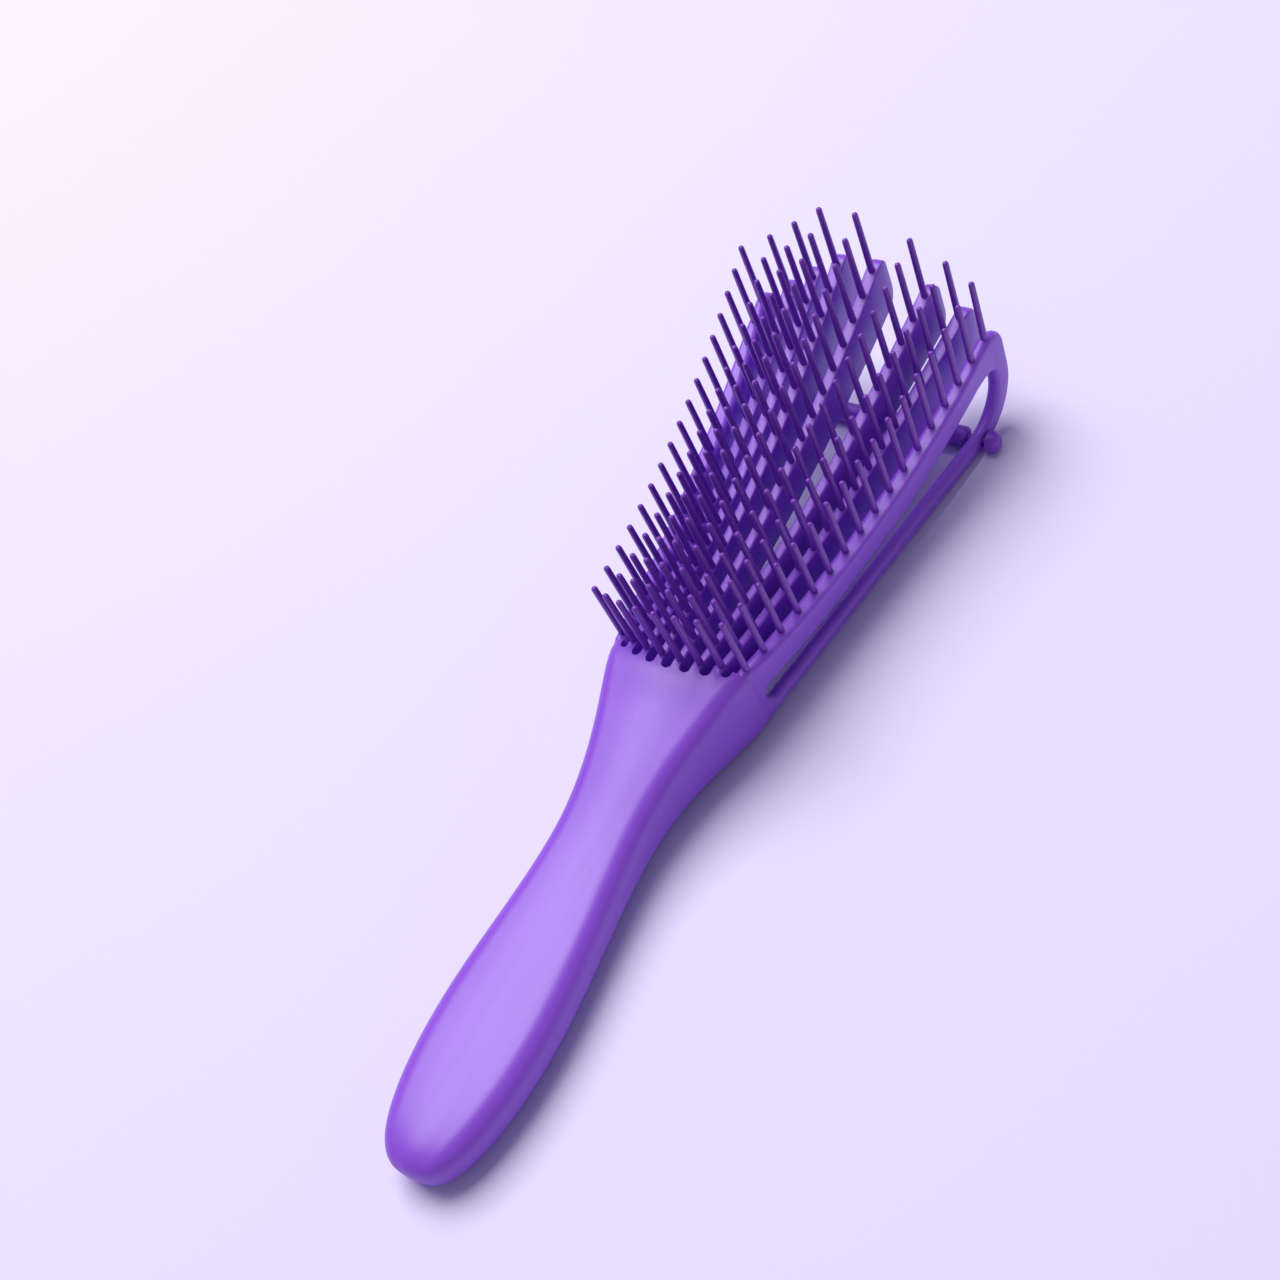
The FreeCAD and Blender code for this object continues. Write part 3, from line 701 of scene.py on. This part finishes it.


# painted shade: the pins take their deeper colours rather than the handle's
bristle_plastic_with_painted_shade = satin_polypropylene(
    "satin_polypropylene_bristle_painted_shade", bristle_light_with_painted_shade, bristle_deep_with_painted_shade, bristle_roughness, bristle_streak_mm)
pin = make_pin()
for number in range(last_finger + 1):
    bristles = plant_row(pin, number)
    bristles.name = f"bristle_row_{number + 1}"
    bristles.data.name = bristles.name
    finish_piece(bristles, finger_seat(number), bristle_plastic_with_painted_shade, bristle_crisp_degrees)
    body = {0: "left_loop", last_finger: "right_loop"}.get(number, f"finger_{number + 1}_blade")
    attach(bristles, body)
    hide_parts(f"bristles_{number + 1}")
bpy.data.objects.remove(pin)

# Cross rod: a round rod that ties the two back bars near the hooks, so that the loops sway together.
# It is moulded on its own, necked where it snaps into the eyelets, with a round head outside each bar.
rod_radius = 2.7
rod_neck_radius = 1
rod_head_radius = 2.8
rod_shoulder = 26.8
rod_head_start = 32
rod_end = 35.3
rod_shoulder_round = 1.2
rod_shoulder_segments = 4
rod_rim_width = 0.1
rod_head_round = 1.9
rod_head_segments = 6
rod_sides = 32
rod_roughness = 0.4
rod_streak_mm = 20


def step_end(side, start, end, old_radius, new_radius):
    """Draws the chosen end of the rod out with a new radius, from one place along it to another."""
    bpy.ops.mesh.extrude_region_move(TRANSFORM_OT_translate={"value": (0, 0, 0)})
    share = new_radius / old_radius
    bpy.ops.transform.resize(value=(share, 1, share), center_override=(0, side * start, 0))
    bpy.ops.mesh.extrude_region_move(TRANSFORM_OT_translate={"value": (0, side * (end - start), 0)})


bpy.ops.object.select_all(action="DESELECT")
bpy.ops.mesh.primitive_cylinder_add(
    vertices=rod_sides, radius=rod_radius, depth=2 * rod_shoulder, rotation=(math.pi / 2, 0, 0))
rod = bpy.context.object
rod.name = "cross_rod_moulding"
rod.data.name = rod.name
bpy.ops.object.transform_apply(location=True, rotation=True, scale=True)
bpy.ops.object.mode_set(mode="EDIT")
for side in (-1, 1):
    choose(rod, "polygons", lambda corner: corner.y * side > rod_shoulder - pick_reach)
    step_end(side, rod_shoulder, rod_head_start, rod_radius, rod_neck_radius)
    step_end(side, rod_head_start, rod_end, rod_neck_radius, rod_head_radius)
for side in (-1, 1):
    choose(rod, "edges", lambda corner: near(corner.y * side, rod_end))
    bpy.ops.mesh.bevel(offset=rod_head_round, segments=rod_head_segments, affect="EDGES")
    choose(rod, "edges", lambda corner: near(corner.y * side, rod_shoulder)
           and math.hypot(corner.x, corner.z) > rod_radius - rod_rim_width)
    bpy.ops.mesh.bevel(offset=rod_shoulder_round, segments=rod_shoulder_segments, affect="EDGES")
bpy.ops.mesh.select_all(action="SELECT")
bpy.ops.mesh.normals_make_consistent(inside=False)
bpy.ops.object.mode_set(mode="OBJECT")
# painted shade: the rod takes the comb's deeper colours, darker than the handle's plastic
rod_plastic_with_painted_shade = satin_polypropylene(
    "satin_polypropylene_rod_painted_shade", comb_light_with_painted_shade, comb_deep_with_painted_shade, rod_roughness, rod_streak_mm)
finish_piece(rod, lying @ Matrix.Translation((rod_x, 0, rod_z)), rod_plastic_with_painted_shade, crisp_degrees)
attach(rod, "tie_rod")
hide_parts("cross_rod")

# Table: a plain pale lilac sheet of matt paper under the brush.
# Its own colour makes the pale ground, and it keeps the brush's soft shadow.
table_size = 2.4
table_light = "#E9E1FC"
table_deep = "#E5DDFB"
paper_cloud = 0.4
paper_detail = 2.0
paper_roughness = 0.9
paper_ior = 1.45

bpy.ops.object.select_all(action="DESELECT")
bpy.ops.mesh.primitive_plane_add(size=table_size)
table = bpy.context.object
table.name = "table_paper"
# uncoated paper scatters the light: no sheen, only broad faint clouds in its tint
paper = bpy.data.materials.new("matt_lilac_paper")
paper.use_nodes = True
tree = paper.node_tree
tree.nodes.clear()
place = add_node(tree, "ShaderNodeTexCoord", {}).outputs["Object"]
cloud = add_node(tree, "ShaderNodeTexNoise", {
    "Vector": place, "Scale": 1 / paper_cloud, "Detail": paper_detail})
tint = add_node(tree, "ShaderNodeMix", {
    "Factor": cloud.outputs["Fac"], "A": hex_colour(table_deep), "B": hex_colour(table_light)},
    data_type="RGBA")
matt = add_node(tree, "ShaderNodeBsdfPrincipled", {
    "Base Color": tint.outputs["Result"], "Roughness": paper_roughness, "IOR": paper_ior})
add_node(tree, "ShaderNodeOutputMaterial", {"Surface": matt.outputs["BSDF"]})
table.data.materials.append(paper)

# Light: one large softbox, high above the brush on its left, for soft shadow edges and a broad sheen.
# The room adds a weak even fill, and where the paper ends it is seen as a pale wall.
softbox_size = 1.5
softbox_place = Vector((0.34, 0.76, 1.80))
softbox_target = Vector((0, 0, 0.03))
softbox_power = 42
room_colour = "#F1ECFF"
room_strength = 0.25
wall_strength = 0.85

softbox = bpy.data.lights.new("softbox", "AREA")
softbox.shape = "SQUARE"
softbox.size = softbox_size
softbox.energy = softbox_power
softbox_stand = bpy.data.objects.new("softbox", softbox)
softbox_stand.location = softbox_place
softbox_stand.rotation_euler = (softbox_target - softbox_place).to_track_quat("-Z", "Y").to_euler()
bpy.context.scene.collection.objects.link(softbox_stand)
room = bpy.data.worlds.new("room")
room.use_nodes = True
tree = room.node_tree
tree.nodes.clear()
sight = add_node(tree, "ShaderNodeLightPath", {}).outputs["Is Camera Ray"]
strength = add_node(tree, "ShaderNodeMapRange", {
    "Value": sight, "To Min": room_strength, "To Max": wall_strength})
fill = add_node(tree, "ShaderNodeBackground", {
    "Color": hex_colour(room_colour), "Strength": strength.outputs["Result"]})
add_node(tree, "ShaderNodeOutputWorld", {"Surface": fill.outputs["Background"]})
bpy.context.scene.world = room

# Camera: above the handle's right side, looking down along the brush, rolled so that the brush leans right.
# Its place, its turn and its lens give the brush the outline that it has in the photograph.
camera_place = Vector((-0.16726, -0.17680, 0.31770))
camera_right = Vector((0.4794, -0.8398, -0.2548))
camera_up = Vector((0.7571, 0.2489, 0.6041))
camera_lens = 47.46
camera_sensor = 36
camera_nearest = 0.01

camera = bpy.data.cameras.new("camera")
camera.lens = camera_lens
camera.sensor_width = camera_sensor
camera.clip_start = camera_nearest
tripod = bpy.data.objects.new("camera", camera)
turn = Matrix((camera_right, camera_up, camera_right.cross(camera_up))).transposed()
tripod.matrix_world = Matrix.Translation(camera_place) @ turn.to_4x4()
bpy.context.scene.collection.objects.link(tripod)
bpy.context.scene.camera = tripod
bpy.context.scene.view_settings.view_transform = "Standard"
